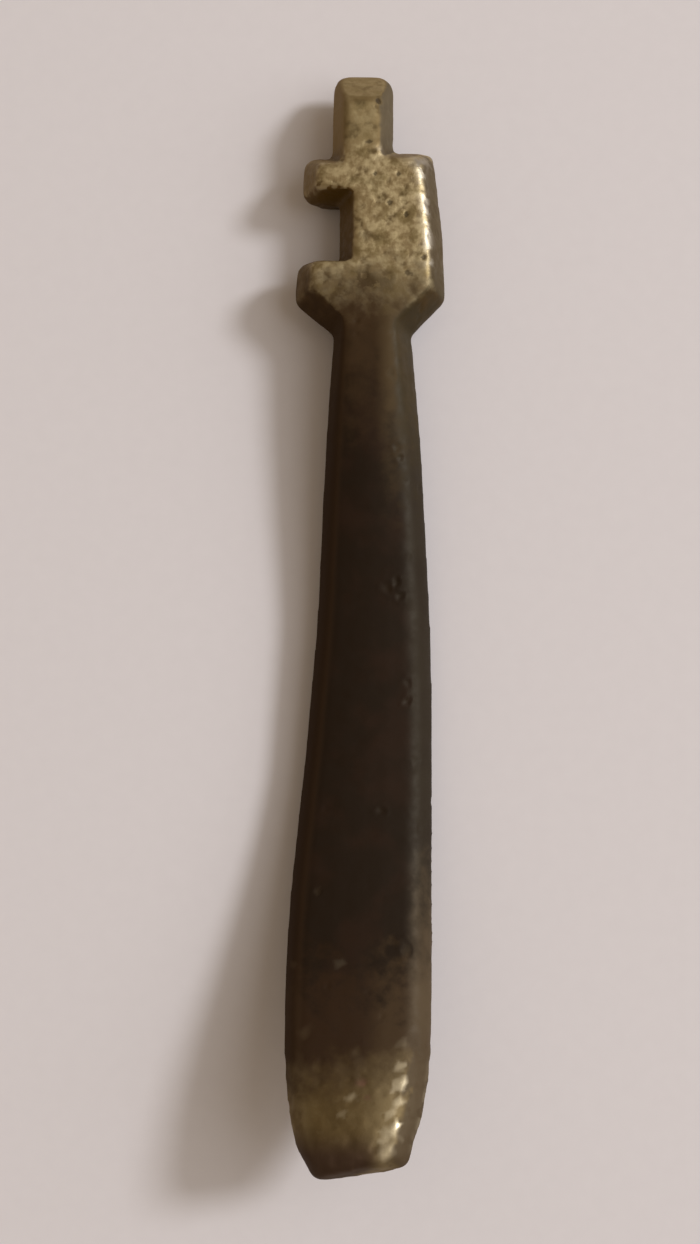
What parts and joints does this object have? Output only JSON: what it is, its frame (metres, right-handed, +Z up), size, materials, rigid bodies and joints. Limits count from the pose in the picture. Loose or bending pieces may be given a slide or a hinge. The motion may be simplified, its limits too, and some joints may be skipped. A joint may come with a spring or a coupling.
{
  "type": "cast brass key with a square peg",
  "caption": "Flat cast key with a tapered square peg, a C-shaped bit open at one side, a sloped shoulder, and a widening handle that lifts to a blunt, skewed blade.",
  "frame": {"origin": "middle of the key's length and width, on the surface that it lies on", "axes": "+Y along the key towards the peg, +Z up out of the face, +X towards the bit's plain back edge"},
  "size_m": [0.011, 0.0786, 0.0095],
  "materials": {
    "bare_brass": "worn, pitted cast brass, rubbed bright along its edges",
    "brown_brass": "cast brass with a thin brown patina",
    "dark_patina": "satin brown-black patina over cast brass, rubbed lighter along the ridges"
  },
  "bodies": {
    "root": {"peg": "bare_brass", "upper_arm": "bare_brass", "bit_web": "bare_brass", "lower_arm": "bare_brass", "shoulder": "brown_brass", "shank": "dark_patina", "grip": "dark_patina", "blade_tip": "bare_brass"}
  },
  "joints": []
}
